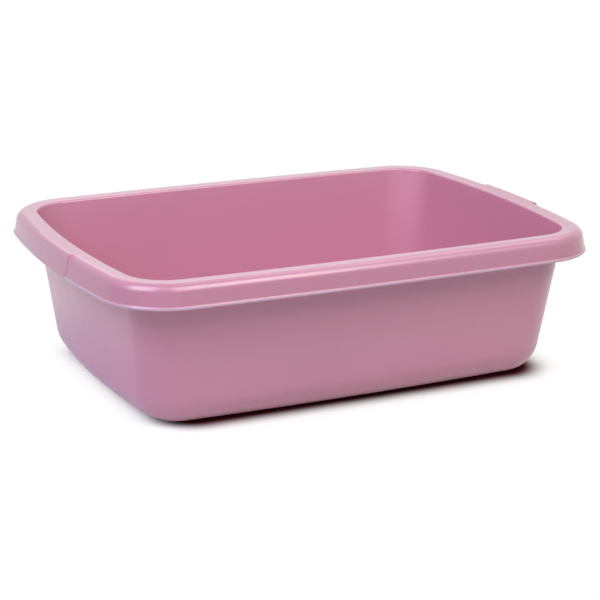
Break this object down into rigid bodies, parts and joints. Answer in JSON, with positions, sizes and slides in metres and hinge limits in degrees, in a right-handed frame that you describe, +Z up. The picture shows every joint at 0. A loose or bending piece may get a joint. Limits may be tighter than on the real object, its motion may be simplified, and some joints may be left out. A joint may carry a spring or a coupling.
{
  "type": "washing up bowl",
  "caption": "Rectangular washing up bowl with tapered walls, a turned-over rim and a finger grip at each short end.",
  "frame": {"origin": "middle of the base, on the surface that the bowl stands on", "axes": "+X along the bowl towards one grip, +Y across it, +Z up towards the open top"},
  "size_m": [0.4036, 0.293, 0.1166],
  "materials": {
    "bowl_plastic": "satin"
  },
  "bodies": {
    "root": {"bowl": "bowl_plastic"}
  },
  "joints": []
}
